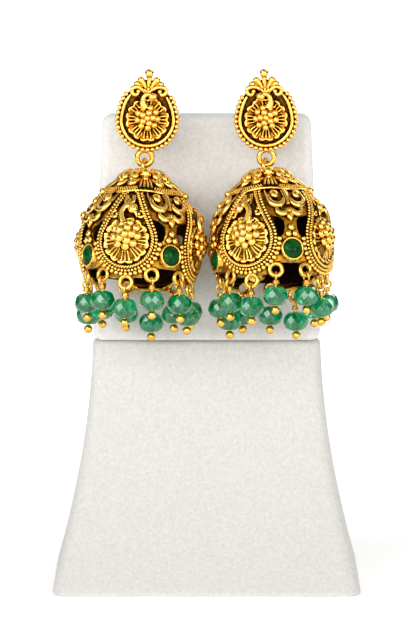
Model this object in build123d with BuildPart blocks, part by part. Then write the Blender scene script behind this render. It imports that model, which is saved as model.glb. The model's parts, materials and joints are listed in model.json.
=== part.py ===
"""A pair of jhumka earrings on a suede display stand.

Millimetres, Z up. The origin is on the table under the middle of the stand's base, and the
front of the stand faces -Y. Each bell is built about its pivot, where its top loop hangs on
the stud's ring. Its belly rests against the panel, so its foot is forward of its top.
"""
from build123d import *
from math import asin, cos, degrees, radians, sin
import os

os.makedirs("parts", exist_ok=True)

# ---- Stand ----
base_height = 56.3
base_top_half_width = 27.1
base_foot_half_width = 36.3
base_front_top = 2.7
base_front_foot = -31.5
base_back_top = 13.5
base_back_foot = 31.0
flare_power = 1.7  # how late the concave flare comes in, going down
base_sections = 8
panel_front = 3.0
panel_thickness = 8.0
panel_top = 110.3
panel_top_half_width = 24.7
panel_foot_half_width = 27.1
panel_edge_round = 2.3
seam_gap = 0.25

# ---- Where the earrings hang ----
stud_height = 110.0
ring_height = 100.9  # centre of the ring soldered under each stud
left_stud_x = -13.95
right_stud_x = 13.95
left_ring_x = -14.6
right_ring_x = 14.1
left_pitch = 13.5  # each bell's foot is forward of its top by this angle
right_pitch = 16.5
left_roll = 2.8  # and splayed sideways by this one
right_roll = -3.4
left_turn = -14.5  # turned about its own axis
right_turn = -25.0
rest_gap = 0.3  # between the bell and the panel

# ---- Stud ----
stud_radius = 7.1  # centreline of the beaded border
stud_plate = 1.0
border_bead = 0.54
border_beads = 40
rim_wire_radius = 6.3
flower_radius = 5.2
cluster_radius = 2.6
ring_radius = 1.72
ring_wire = 0.6
post_radius = 0.5
post_height = 105.9
post_in_panel = 5.0
post_hole_radius = 0.7
clutch_radius = 2.3
clutch_length = 4.5

# ---- Bell, as (radius, depth below the pivot) ----
wall_outline = [
    (9.35, 8.1),
    (10.6, 9.3),
    (11.9, 11.3),
    (13.0, 13.8),
    (13.8, 16.8),
    (14.05, 19.8),
    (13.75, 22.8),
    (13.15, 25.3),
    (12.2, 28.2),
]
wall_thickness = 0.9
collar_radius = 1.3
collar_depth = 0.93
tier_radius = 6.6
tier_depth = 4.7
canopy_radius = 9.75
canopy_depth = 7.6
loop_radius = 1.75
loop_wire = 0.46
loop_depth = 0.4
panel_turns = [0, 90, 180, 270]
gap_turns = [45, 135, 225, 315]
medallion_depth = 20.0
medallion_radius = 6.6
beaded_edge_radius = 7.9
medallion_neck_depth = 9.4
medallion_neck_radius = 2.1
medallion_rise = 0.35
border_rise = 0.85
border_width = 0.9
flower_rise = 0.7
bell_flower_radius = 5.2
bell_cluster_radius = 3.2
bezel_depth = 23.0
bezel_radius = 2.8
bezel_face = 14.4
bezel_length = 2.5
stone_radius = 2.15
stone_seat = 1.2
stone_crown = 0.75
hook_radius = 1.45
hook_wire = 0.5
hook_spread = 28.0
low_hook_depth = 29.6
low_hook_reach = 12.0
side_hook_depth = 27.6
side_hook_reach = 12.5

# ---- Drops ----
pin_loop_radius = 1.0
pin_wire = 0.25
pin_shaft = 0.3
collar_width = 0.72
bead_radius = 3.0
bead_height = 4.5
bead_bore = 0.45
bead_drop = 4.7  # from the middle of the hook's wire, at its lowest, to the bead's centre
ball_radius = 1.02
drop_lean = 2.0  # the most that a drop hangs out of plumb, in degrees


# ======== The stand ========
def flare(height):
    """How far out the base has flared at a height, from 0 at its top to 1 at its foot."""
    return (1 - height / base_height) ** flare_power


with BuildPart() as stand_base:
    for step in range(base_sections):
        height = base_height * step / (base_sections - 1)
        share = flare(height)
        half_width = base_top_half_width + (base_foot_half_width - base_top_half_width) * share
        front = base_front_top + (base_front_foot - base_front_top) * share
        back = base_back_top + (base_back_foot - base_back_top) * share
        with BuildSketch(Plane.XY.offset(height)):
            with Locations((0, (front + back) / 2)):
                RectangleRounded(2 * half_width, back - front, 3.0)
    loft()
    fillet(stand_base.faces().sort_by(Axis.Z)[0].edges(), 1.2)
    fillet(stand_base.faces().sort_by(Axis.Z)[-1].edges(), 1.5)
stand_base.part.label = "stand_base"
export_step(stand_base.part, "parts/stand_base.step")

with BuildPart() as stand_panel:
    with BuildSketch(Plane.XZ.offset(-panel_front)) as panel_face:
        with BuildLine():
            Polyline(
                (-panel_foot_half_width, base_height + seam_gap),
                (panel_foot_half_width, base_height + seam_gap),
                (panel_top_half_width, panel_top),
                (-panel_top_half_width, panel_top),
                close=True,
            )
        make_face()
        fillet(panel_face.vertices(), 2.4)
    extrude(amount=-panel_thickness)
    fillet(stand_panel.faces().filter_by(Axis.Y).edges(), panel_edge_round)
    with Locations((left_stud_x, panel_front, post_height), (right_stud_x, panel_front, post_height)):
        Cylinder(
            post_hole_radius,
            2 * (post_in_panel + 0.5),
            rotation=(90, 0, 0),
            mode=Mode.SUBTRACT,
        )
stand_panel.part.label = "stand_panel"
export_step(stand_panel.part, "parts/stand_panel.step")


# ======== Forms shared by the two bells ========
def radial_plane(turn, reach=0.0, depth=0.0):
    """A plane facing outward at a turn about the bell's axis, with its x to the viewer's right."""
    outward = Vector(sin(radians(turn)), -cos(radians(turn)), 0)
    across = Vector(cos(radians(turn)), sin(radians(turn)), 0)
    return Plane(origin=outward * reach + Vector(0, 0, -depth), x_dir=across, z_dir=outward)


def revolve_wall(rise, inset):
    """The bell's wall as a layer, from inset inside its outline to rise outside it."""
    outer = [(radius + rise, -depth) for radius, depth in wall_outline]
    inner = [(radius - inset, -depth) for radius, depth in wall_outline]
    with BuildSketch(Plane.XZ) as section:
        with BuildLine():
            Spline(*outer)
            Spline(*inner)
            Line(outer[0], inner[0])
            Line(outer[-1], inner[-1])
        make_face()
    revolve(section.sketch, axis=Axis.Z)


with BuildPart() as hollow:
    with BuildSketch(Plane.XZ):
        with BuildLine():
            lining = [(radius - wall_thickness, -depth) for radius, depth in wall_outline[1:]]
            Line((0, -2.2), (3.0, -2.9))
            Spline((3.0, -2.9), (5.6, -4.9), (8.0, -7.3), *lining)
            Polyline(lining[-1], (lining[-1][0], -30), (0, -30), (0, -2.2))
        make_face()
    revolve(axis=Axis.Z)

def draw_teardrop(grow):
    """A medallion's outline in the current sketch, its narrow end up, grown by an amount."""
    with Locations((0, -medallion_depth)):
        Circle(medallion_radius + grow)
    with Locations((0, -medallion_neck_depth)):
        Circle(medallion_neck_radius + grow)
    make_hull()


with BuildSketch() as teardrop:
    draw_teardrop(0)

with BuildSketch() as teardrop_edge:
    draw_teardrop(-0.05)

with BuildSketch() as teardrop_inside:
    draw_teardrop(-border_width)

with BuildPart() as plate_prisms:
    for turn in panel_turns:
        with BuildSketch(radial_plane(turn, reach=8)):
            add(teardrop.sketch)
            with BuildLine():
                foot_arc = CenterArc((0, -medallion_depth), beaded_edge_radius, 190, 160)
                Line(foot_arc @ 0, foot_arc @ 1)
            make_face()
        extrude(amount=12)

with BuildPart() as medallion_plates:
    revolve_wall(medallion_rise, 0.6)
    add(plate_prisms.part, mode=Mode.INTERSECT)

with BuildPart() as border_prisms:
    for turn in panel_turns:
        with BuildSketch(radial_plane(turn, reach=8)):
            add(teardrop_edge.sketch)
            add(teardrop_inside.sketch, mode=Mode.SUBTRACT)
        extrude(amount=12)

with BuildPart() as medallion_borders:
    revolve_wall(border_rise, 0.4)
    add(border_prisms.part, mode=Mode.INTERSECT)

with BuildPart() as flower_prisms:
    for turn in panel_turns:
        with BuildSketch(radial_plane(turn, reach=8)):
            for petal in range(8):
                with Locations((0, -medallion_depth)):
                    with PolarLocations(0.62 * bell_flower_radius, 1, start_angle=45 * petal + 22.5):
                        Ellipse(0.38 * bell_flower_radius, 1.45)
            with Locations((0, -medallion_depth)):
                Circle(0.5 * bell_flower_radius)
        extrude(amount=12)

with BuildPart() as medallion_flowers:
    revolve_wall(flower_rise, 0.2)
    add(flower_prisms.part, mode=Mode.INTERSECT)

with BuildPart() as scrollwork:
    for turn in gap_turns:
        for side in (-1, 1):
            with Locations(radial_plane(turn + 12.3 * side, reach=11.6, depth=10.6)):
                Torus(1.5, 0.55)
            with Locations(radial_plane(turn + 7.0 * side, reach=13.05, depth=13.6)):
                Torus(1.0, 0.5)
            with Locations(radial_plane(turn + 3.0 * side, reach=13.9, depth=19.6)):
                Sphere(0.75)
        with Locations(radial_plane(turn, reach=12.4, depth=11.7)):
            Sphere(1.1)
        with Locations(radial_plane(turn, reach=13.5, depth=15.9)):
            Sphere(1.0)
        with Locations(radial_plane(turn, reach=13.9, depth=18.0)):
            Sphere(0.8)

with BuildPart() as hooks:
    for turn in panel_turns:
        with Locations(radial_plane(turn, reach=low_hook_reach, depth=low_hook_depth)):
            Torus(hook_radius, hook_wire)
        for side in (-1, 1):
            hook_turn = turn + side * hook_spread
            with Locations(radial_plane(hook_turn, reach=side_hook_reach, depth=side_hook_depth)):
                Torus(hook_radius, hook_wire)
    with Locations(Location((0, 0, -loop_depth), (0, 90, 0))):
        Torus(loop_radius, loop_wire)

# ======== The metal of one bell ========
with BuildPart() as bell_metal:
    with BuildSketch(Plane.XZ):
        with BuildLine():
            outer = [(radius, -depth) for radius, depth in wall_outline]
            Polyline((0, -collar_depth), (collar_radius, -collar_depth), (collar_radius, -1.7))
            Spline(
                (collar_radius, -1.7),
                (3.6, -2.35),
                (5.6, -3.5),
                (tier_radius, -tier_depth),
            )
            Polyline(
                (tier_radius, -tier_depth),
                (canopy_radius, -canopy_depth),
                (canopy_radius - 0.3, -canopy_depth - 0.35),
                outer[0],
            )
            Spline(*outer)
            Polyline(outer[-1], (0, outer[-1][1]), (0, -collar_depth))
        make_face()
    revolve(axis=Axis.Z)

    # The cap: eight lobes round its top tier, a wire round its canopy, ribs ending in knobs.
    with Locations((0, 0, -3.75)):
        with PolarLocations(4.5, 8, start_angle=22.5):
            Sphere(1.95)
    with Locations((0, 0, -canopy_depth)):
        Torus(canopy_radius - 0.1, 0.35)
    for turn in panel_turns:
        rib_plane = radial_plane(turn)
        rib = Plane(origin=(0, 0, 0), x_dir=rib_plane.x_dir, z_dir=rib_plane.z_dir)
        top = rib.z_dir * tier_radius + Vector(0, 0, -tier_depth)
        foot = rib.z_dir * (canopy_radius + 0.1) + Vector(0, 0, -canopy_depth - 0.1)
        with BuildSketch(Plane(origin=top, x_dir=rib.x_dir, z_dir=foot - top)):
            Circle(0.62)
        extrude(amount=(foot - top).length)
        with Locations(foot):
            Sphere(0.85)

    # Hollow it, then open the gaps between the medallions.
    add(hollow.part, mode=Mode.SUBTRACT)
    for turn in gap_turns:
        with BuildSketch(radial_plane(turn)):
            with BuildLine():
                Polyline(
                    (0, -16.2),
                    (3.9, -14.6),
                    (4.2, -16.5),
                    (3.4, -18.6),
                    (3.3, -21.0),
                    (4.2, -23.6),
                    (5.4, -25.6),
                    (8.6, -27.2),
                    (8.6, -28.5),
                    (-8.6, -28.5),
                    (-8.6, -27.2),
                    (-5.4, -25.6),
                    (-4.2, -23.6),
                    (-3.3, -21.0),
                    (-3.4, -18.6),
                    (-4.2, -16.5),
                    (-3.9, -14.6),
                    close=True,
                )
            make_face()
            with Locations((0, -18.3)):
                Rectangle(2.4, 5.6, mode=Mode.SUBTRACT)
        extrude(amount=20, mode=Mode.SUBTRACT)

    # Medallions.
    add(medallion_plates.part)
    add(medallion_borders.part)
    add(medallion_flowers.part)
    for turn in panel_turns:
        with BuildSketch(radial_plane(turn, reach=13.5, depth=medallion_depth - 0.3)):
            Circle(bell_cluster_radius)
        extrude(amount=2.2, taper=38)
        with Locations(radial_plane(turn, reach=13.35, depth=14.4)):
            Sphere(1.1)

    # Scrollwork, bezels and hooks, and a seat in each bezel for its stone.
    add(scrollwork.part)
    add(hooks.part)
    for turn in gap_turns:
        with BuildSketch(radial_plane(turn, reach=bezel_face - bezel_length, depth=bezel_depth)):
            Circle(bezel_radius)
        extrude(amount=bezel_length)
        with BuildSketch(radial_plane(turn, reach=bezel_face, depth=bezel_depth)):
            Circle(stone_radius + 0.05)
        extrude(amount=-stone_seat, mode=Mode.SUBTRACT)


# ======== Where each bell hangs ========
def stand_off(pitch):
    """How far the pivot is from the panel when the bell just clears it at a pitch."""
    lean = radians(pitch)
    reaches = [(r + border_rise) * cos(lean) - d * sin(lean) for r, d in wall_outline]
    return max(reaches) + rest_gap


left_ring_y = panel_front - stand_off(left_pitch)
right_ring_y = panel_front - stand_off(right_pitch)
left_hang = (
    Pos(left_ring_x, left_ring_y, ring_height - ring_radius)
    * Rot(0, left_roll, 0)
    * Rot(-left_pitch, 0, 0)
    * Rot(0, 0, left_turn)
)
right_hang = (
    Pos(right_ring_x, right_ring_y, ring_height - ring_radius)
    * Rot(0, right_roll, 0)
    * Rot(-right_pitch, 0, 0)
    * Rot(0, 0, right_turn)
)

with BuildPart() as left_bell:
    with Locations(left_hang):
        add(bell_metal.part)
left_bell.part.label = "left_bell"
export_step(left_bell.part, "parts/left_bell.step")

with BuildPart() as right_bell:
    with Locations(right_hang):
        add(bell_metal.part)
right_bell.part.label = "right_bell"
export_step(right_bell.part, "parts/right_bell.step")

with BuildPart() as stone_form:
    stone_height = stone_seat - 0.1 + stone_crown
    Cylinder(
        stone_radius - 0.05,
        stone_height,
        align=(Align.CENTER, Align.CENTER, Align.MIN),
    )
    fillet(stone_form.edges().sort_by(Axis.Z)[-1], stone_crown)

with BuildPart() as four_stones:
    for turn in gap_turns:
        with Locations(radial_plane(turn, bezel_face - stone_seat + 0.1, bezel_depth)):
            add(stone_form.part)

with BuildPart() as left_stones:
    with Locations(left_hang):
        add(four_stones.part)
left_stones.part.label = "left_stones"
export_step(left_stones.part, "parts/left_stones.step")

with BuildPart() as right_stones:
    with Locations(right_hang):
        add(four_stones.part)
right_stones.part.label = "right_stones"
export_step(right_stones.part, "parts/right_stones.step")


# ======== Studs ========
# Built about the middle of the stud's front, in the XZ plane, for the left ear.
crown_lobes = [(-2.5, 7.6), (-1.4, 8.9), (0.45, 7.2), (2.5, 7.6), (1.4, 8.9), (3.5, 5.9), (-3.5, 5.9)]

with BuildPart() as stud_metal:
    with BuildSketch(Plane.XZ.offset(0.3)):
        Circle(stud_radius)
        with Locations((0, 7.6)):
            Circle(2.3)
        make_hull()
    extrude(amount=stud_plate)
    with Locations((0, -1.3, 0)):
        with PolarLocations(0, 1):
            Torus(rim_wire_radius, 0.42, rotation=(90, 0, 0))
    with BuildSketch(Plane.XZ.offset(1.0)):
        Circle(cluster_radius + 0.2)
        for petal in range(8):
            with PolarLocations(0.62 * flower_radius, 1, start_angle=45 * petal + 22.5):
                Ellipse(0.38 * flower_radius, 1.45)
    extrude(amount=1.1)
    with BuildSketch(Plane.XZ.offset(1.6)):
        Circle(cluster_radius)
    extrude(amount=1.9, taper=35)
    for bead in range(border_beads):
        angle = radians(360 * bead / border_beads)
        with Locations((stud_radius * sin(angle), -1.35, stud_radius * cos(angle))):
            Sphere(border_bead)
    for x, z in crown_lobes:
        with Locations((x, -1.4, z)):
            Sphere(1.0)
    with Locations((0.5, -1.1, 10.7)):
        Sphere(1.03)
    with Locations((-0.3, -1.6, 3.4)):
        Sphere(1.0)
    with Locations((0.6, -1.8, 4.9)):
        Sphere(0.9)

with BuildPart() as clutch:
    Cylinder(clutch_radius, clutch_length, rotation=(90, 0, 0))
    fillet(clutch.edges(), 0.5)
    Cylinder(post_hole_radius, clutch_length + 1, rotation=(90, 0, 0), mode=Mode.SUBTRACT)

studs = [
    ("left", left_stud_x, left_ring_x, left_ring_y, 1),
    ("right", right_stud_x, right_ring_x, right_ring_y, -1),
]
for side_name, stud_x, ring_x, ring_y, facing in studs:
    with BuildPart() as stud:
        with Locations((stud_x, ring_y, stud_height)):
            add(stud_metal.part if facing == 1 else stud_metal.part.mirror(Plane.YZ))
        with Locations((ring_x, ring_y, ring_height)):
            Torus(ring_radius, ring_wire, rotation=(90, 0, 0))
        post_length = panel_front + post_in_panel - ring_y + 0.6
        with Locations((stud_x, panel_front + post_in_panel - post_length / 2, post_height)):
            Cylinder(post_radius, post_length, rotation=(90, 0, 0))
    stud.part.label = side_name + "_stud"
    export_step(stud.part, "parts/" + side_name + "_stud.step")
    with BuildPart() as friction_back:
        with Locations((stud_x, panel_front - rest_gap - clutch_length / 2, post_height)):
            add(clutch.part)
    friction_back.part.label = side_name + "_clutch"
    export_step(friction_back.part, "parts/" + side_name + "_clutch.step")


# ======== Drops ========
with BuildPart() as pin_form:
    # The middle of the hook's wire is the origin, and the hook's wire runs along x.
    loop_middle = pin_loop_radius - pin_wire - hook_wire - 0.08
    with Locations(Location((0, 0, -loop_middle), (0, 90, 0))):
        Torus(pin_loop_radius, pin_wire)
    with Locations((0, 0, -loop_middle - pin_loop_radius + 0.1)):
        Cylinder(collar_width, 0.9, align=(Align.CENTER, Align.CENTER, Align.MAX))
    with Locations((0, 0, -loop_middle - pin_loop_radius - 0.25)):
        Cylinder(pin_shaft, bead_height + 1.3, align=(Align.CENTER, Align.CENTER, Align.MAX))
    with Locations((0, 0, -bead_drop - bead_height / 2 - 0.08 - ball_radius)):
        Sphere(ball_radius)

with BuildPart() as bead_form:
    with BuildSketch(Plane.XZ):
        with BuildLine():
            Polyline(
                (bead_bore, bead_height / 2),
                (0.5 * bead_radius, bead_height / 2),
                (0.9 * bead_radius, 0.25 * bead_height),
                (bead_radius, 0.06 * bead_height),
                (bead_radius, -0.06 * bead_height),
                (0.9 * bead_radius, -0.25 * bead_height),
                (0.5 * bead_radius, -bead_height / 2),
                (bead_bore, -bead_height / 2),
                close=True,
            )
        make_face()
    revolve(axis=Axis.Z)

hook_places = []
for turn in panel_turns:
    hook_places.append((turn - hook_spread, side_hook_reach, side_hook_depth))
    hook_places.append((turn, low_hook_reach, low_hook_depth))
    hook_places.append((turn + hook_spread, side_hook_reach, side_hook_depth))


def drop_place(hang, turn, reach, depth, number):
    """Where a drop hangs: at the lowest point of its hook's wire, close to plumb."""
    hook = hang * Location(radial_plane(turn, reach, depth))
    ring = Plane(hook)
    down = Vector(0, 0, -1) - ring.z_dir * Vector(0, 0, -1).dot(ring.z_dir)
    lowest = ring.origin + down.normalized() * hook_radius
    along = ring.z_dir.cross(down.normalized())
    sway = radians(drop_lean * sin(2.4 * number))
    swing = radians(drop_lean * cos(3.7 * number))
    flat_along = Vector(along.X, along.Y, 0).normalized()
    flat_across = Vector(0, 0, 1).cross(flat_along)
    upward = Vector(0, 0, 1) + flat_along * sin(sway) + flat_across * sin(swing)
    x_dir = flat_along - upward.normalized() * flat_along.dot(upward.normalized())
    return Location(Plane(origin=lowest, x_dir=x_dir, z_dir=upward))


for side_name, hang, first in (("left", left_hang, 2), ("right", right_hang, 20)):
    places = [drop_place(hang, *hook, first + n) for n, hook in enumerate(hook_places)]
    with BuildPart() as pins:
        with Locations(*places):
            add(pin_form.part)
    pins.part.label = side_name + "_pins"
    export_step(pins.part, "parts/" + side_name + "_pins.step")
    for number, place in enumerate(places, start=1):
        with BuildPart() as bead:
            with Locations(place * Pos(0, 0, -bead_drop)):
                add(bead_form.part)
        bead.part.label = f"{side_name}_bead_{number:02d}"
        export_step(bead.part, f"parts/{side_name}_bead_{number:02d}.step")
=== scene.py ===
# %% [markdown]
# # A pair of jhumka earrings on a suede stand
# A jhumka is a bell-shaped Indian earring: a stud with a small ring under it, and a hollow
# metal bell that hangs from the ring and carries a fringe of beads. This lesson dresses the
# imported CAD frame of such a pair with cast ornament, antique gold, glass and suede.
# The frame comes first, so that every piece is placed from the CAD and moves with it.

import json
from math import asin, atan2, cos, hypot, pi, radians, sin

import bpy
import numpy as np
from mathutils import Matrix, Vector
from mathutils.bvhtree import BVHTree


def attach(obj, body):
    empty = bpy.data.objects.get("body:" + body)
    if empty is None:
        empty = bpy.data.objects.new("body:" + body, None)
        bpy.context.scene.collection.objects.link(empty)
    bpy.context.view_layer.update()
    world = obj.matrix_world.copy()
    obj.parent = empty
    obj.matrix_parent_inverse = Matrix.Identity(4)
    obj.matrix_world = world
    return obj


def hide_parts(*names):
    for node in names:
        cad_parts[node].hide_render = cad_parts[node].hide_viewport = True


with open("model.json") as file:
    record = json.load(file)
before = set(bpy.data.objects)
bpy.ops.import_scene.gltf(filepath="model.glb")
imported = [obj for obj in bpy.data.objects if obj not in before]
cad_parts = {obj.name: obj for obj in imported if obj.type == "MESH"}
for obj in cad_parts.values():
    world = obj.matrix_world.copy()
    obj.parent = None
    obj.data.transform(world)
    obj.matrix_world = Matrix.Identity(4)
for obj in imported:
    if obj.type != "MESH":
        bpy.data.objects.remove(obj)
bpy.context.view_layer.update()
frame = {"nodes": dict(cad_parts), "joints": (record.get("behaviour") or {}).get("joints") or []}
nodes = frame["nodes"]
MM = 0.001

# %% [markdown]
# ## The camera
# A product photograph of jewellery is taken from far away with a long lens, a little from
# above, so that upright edges stay parallel. The lens is worked out from the height of the
# view in millimetres and the distance.

# %% Camera
VIEW_HEIGHT = 146.6 * MM
CAMERA_FAR = 1500 * MM
CAMERA_RISE = radians(6)
AIM = Vector((0.3 * MM, 0, 63.6 * MM))


def linked(name, data):
    """A new object that holds some data."""
    made = bpy.data.objects.new(name, data)
    bpy.context.collection.objects.link(made)
    return made


camera_data = bpy.data.cameras.new("camera")
camera_data.sensor_fit = "VERTICAL"
camera_data.sensor_height = 24
camera_data.lens = 12 / (VIEW_HEIGHT / 2 / (CAMERA_FAR - 15 * MM))
camera_data.clip_start = 0.01
camera_data.clip_end = 50
camera = linked("camera", camera_data)
camera.location = AIM + CAMERA_FAR * Vector((0, -cos(CAMERA_RISE), sin(CAMERA_RISE)))
camera.rotation_euler = (pi / 2 - CAMERA_RISE, 0, 0)
bpy.context.scene.camera = camera
print("lens", round(camera_data.lens, 1), "mm")

# %% [markdown]
# ## Floor and light
# Polished gold shows its surroundings more than its own colour, so the light has to give it
# bright panels to catch and darker air between them. The sky is dark up to 20 degrees above
# the horizon, bright from 30 to 53 degrees and dimmer again overhead, and four soft boxes
# stand round the earrings. The white floor glows a little, and more with distance, so that
# it fades out into white.


# %% Helpers for nodes and colours
def linear(code):
    """An sRGB hex colour as the linear RGBA that Blender's sockets take."""
    parts = [int(code[i : i + 2], 16) / 255 for i in (1, 3, 5)]
    return [c / 12.92 if c <= 0.04045 else ((c + 0.055) / 1.055) ** 2.4 for c in parts] + [1]


def add_node(tree, kind, inputs=None, **settings):
    """Adds a node, sets its properties, and sets or links its inputs."""
    made = tree.nodes.new(kind)
    for key, value in settings.items():
        setattr(made, key, value)
    for key, value in (inputs or {}).items():
        if isinstance(value, bpy.types.NodeSocket):
            tree.links.new(value, made.inputs[key])
        else:
            made.inputs[key].default_value = value
    return made


def new_material(name):
    """An empty node material, as (material, tree, object coordinates)."""
    made = bpy.data.materials.new(name)
    made.use_nodes = True
    tree = made.node_tree
    tree.nodes.clear()
    return made, tree, add_node(tree, "ShaderNodeTexCoord").outputs["Object"]


def surface(tree, inputs):
    """Ends a material in a principled shader."""
    shader = add_node(tree, "ShaderNodeBsdfPrincipled", inputs)
    add_node(tree, "ShaderNodeOutputMaterial", {"Surface": shader.outputs[0]})


def noise(tree, place, size, detail, **inputs):
    """A noise with patches about a size in mm."""
    inputs = {"Vector": place, "Scale": 1 / (size * MM), "Detail": detail, **inputs}
    return add_node(tree, "ShaderNodeTexNoise", inputs).outputs[0]


def ramp(tree, value, stops):
    """A colour ramp over a value, from (position, hex colour) pairs."""
    made = add_node(tree, "ShaderNodeValToRGB", {0: value})
    elements = made.color_ramp.elements
    while len(elements) < len(stops):
        elements.new(0.5)
    for element, (place, code) in zip(elements, stops):
        element.position = place
        element.color = linear(code)
    return made.outputs[0]


# %% Floor
# Matt white paint: it takes a soft shadow and shows no highlight.
bpy.context.scene.view_settings.view_transform = "Standard"
floor_paint, tree, place = new_material("matt_white_floor")
reach = add_node(tree, "ShaderNodeVectorMath", {0: place}, operation="LENGTH").outputs["Value"]
far_light = add_node(
    tree,
    "ShaderNodeMapRange",
    {"Value": reach, "From Min": 0.1, "From Max": 1.2, "To Min": 0.25, "To Max": 0.75},
)
surface(
    tree,
    {
        "Base Color": linear("#F3F3F2"),
        "Roughness": 0.8,
        "Emission Color": linear("#FFFFFF"),
        "Emission Strength": far_light.outputs[0],
    },
)
bpy.ops.object.select_all(action="DESELECT")
bpy.ops.mesh.primitive_plane_add(size=12)
floor = bpy.context.object
floor.name = "floor"
floor.data.materials.append(floor_paint)

# %% Sky and soft boxes
world = bpy.data.worlds.new("studio")
bpy.context.scene.world = world
world.use_nodes = True
world.node_tree.nodes.clear()
tree = world.node_tree
sky_place = add_node(tree, "ShaderNodeTexCoord")
sky_height = add_node(tree, "ShaderNodeSeparateXYZ", {0: sky_place.outputs["Generated"]})
sky_colour = ramp(
    tree,
    sky_height.outputs["Z"],
    [(0.0, "#56524C"), (0.34, "#3C3935"), (0.5, "#FFFFFF"), (0.8, "#FFFFFF"), (1.0, "#6E6A64")],
)
sky_light = add_node(tree, "ShaderNodeBackground", {"Color": sky_colour, "Strength": 0.75})
add_node(tree, "ShaderNodeOutputWorld", {"Surface": sky_light.outputs[0]})


LIT_POINT = Vector((0, 0, 0.07))


def soft_box(name, place, width, height, power):
    """A rectangular lamp that faces the earrings. Sizes are in metres, power in watts."""
    lamp = bpy.data.lights.new(name, "AREA")
    lamp.shape = "RECTANGLE"
    lamp.size = width
    lamp.size_y = height
    lamp.energy = power
    box = linked(name, lamp)
    box.location = place
    box.visible_camera = False
    aim = LIT_POINT - box.location
    box.rotation_euler = aim.to_track_quat("-Z", "Y").to_euler()


soft_box("key", Vector((-0.72, -0.95, 0.52)), 1.0, 0.6, 10.0)
soft_box("fill", Vector((0.95, -0.9, 0.4)), 0.5, 0.5, 4.5)
soft_box("front", Vector((0.1, -1.3, 0.42)), 1.0, 0.3, 7.0)
soft_box("back", Vector((0.5, 1.3, 0.8)), 1.0, 0.6, 7.0)
print("four soft boxes and a sky")

# %% [markdown]
# ## Suede
# Suede is leather buffed to a short nap. It's matt, it brightens at glancing angles, and its
# fibres lie in small patches that read as a faint mottle. The nap here is two noises, one for
# the patches, about 0.9 mm across, and one for the fibres, drawn at 0.35 mm because the real
# ones are too fine to show.

# %% Suede material
PATCHES = 0.9
FIBRES = 0.35
NAP_HEIGHT = 0.12 * MM


def suede_cover(name, stops):
    """Buffed suede, soft and without a highlight, its nap in a ramp of shades."""
    cover, tree, place = new_material(name)
    patches = noise(tree, place, PATCHES, 3.0, Roughness=0.6)
    fibres = noise(tree, place, FIBRES, 2.0, Roughness=0.7)
    nap = add_node(tree, "ShaderNodeMath", {0: patches, 1: fibres}, operation="ADD").outputs[0]
    half_nap = add_node(tree, "ShaderNodeMath", {0: nap, 1: 0.5}, operation="MULTIPLY")
    relief = add_node(
        tree, "ShaderNodeBump", {"Height": nap, "Strength": 0.4, "Distance": NAP_HEIGHT}
    )
    surface(
        tree,
        {
            "Base Color": ramp(tree, half_nap.outputs[0], stops),
            "Roughness": 0.95,
            "Sheen Weight": 0.2,
            "Sheen Roughness": 0.5,
            "Normal": relief.outputs[0],
        },
    )
    return cover


# One suede in two painted shades: the panel's is lighter to offset the bells' shade on it, the
# base's darker to offset the extra light its flare gets from above and from the floor.
panel_suede_painted_lighter = suede_cover("panel_suede_painted_lighter", [(0.3, "#C8C6C1"), (0.5, "#D5D3CF"), (0.7, "#E2E0DD")])
base_suede_painted_darker = suede_cover("base_suede_painted_darker", [(0.3, "#B6B4AF"), (0.5, "#C3C1BC"), (0.7, "#D0CECA")])
print("suede:", panel_suede_painted_lighter.name, "and", base_suede_painted_darker.name)

# %% [markdown]
# ## Antique gold
# The earrings are cast brass, gold plated, then dipped to blacken them and rubbed bright again
# where a cloth can reach. So the colour follows the relief: near black in the hollows, brown on
# the slopes and bright gold on the tops. Each cast shape stores how open a point lies to its
# surroundings in an attribute, and the material reads it. Plates and grooves are also marked as
# hollow, which darkens them. The inside of the bell above its lip is marked darker still: that
# is painted shade, standing in for the shade inside the bell.

# %% Antique gold material
# Plated brass, blackened and rubbed back: dark between the raised parts, warm on top of them.
# Inside the bell the dark end of this ramp also stands for painted shade.
antique_gold, tree, place = new_material("antique_gold")
wear_and_shade = add_node(tree, "ShaderNodeAttribute", attribute_name="wear_and_shade").outputs["Fac"]
patina = noise(tree, place, 0.9, 3.0, Roughness=0.65)
uneven = add_node(tree, "ShaderNodeMath", {0: patina, 1: 0.3, 2: -0.15}, operation="MULTIPLY_ADD")
rubbed_and_shaded = add_node(
    tree, "ShaderNodeMath", {0: wear_and_shade, 1: uneven.outputs[0]}, operation="ADD", use_clamp=True
)
gold_colour = ramp(
    tree,
    rubbed_and_shaded.outputs[0],
    [(0.16, "#1C0F04"), (0.31, "#553309"), (0.45, "#BA8120"), (0.60, "#E9AE3E"), (1.0, "#FBD06A")],
)
gold_polish = add_node(
    tree,
    "ShaderNodeMapRange",
    {"Value": rubbed_and_shaded.outputs[0], "From Min": 0.1, "From Max": 0.6, "To Min": 0.5, "To Max": 0.17},
)
casting = noise(tree, place, 0.35, 2.0)
casting_bump = add_node(
    tree, "ShaderNodeBump", {"Height": casting, "Strength": 0.25, "Distance": 0.05 * MM}
)
surface(
    tree,
    {
        "Base Color": gold_colour,
        "Metallic": 1.0,
        "Roughness": gold_polish.outputs[0],
        "Normal": casting_bump.outputs[0],
    },
)

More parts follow.
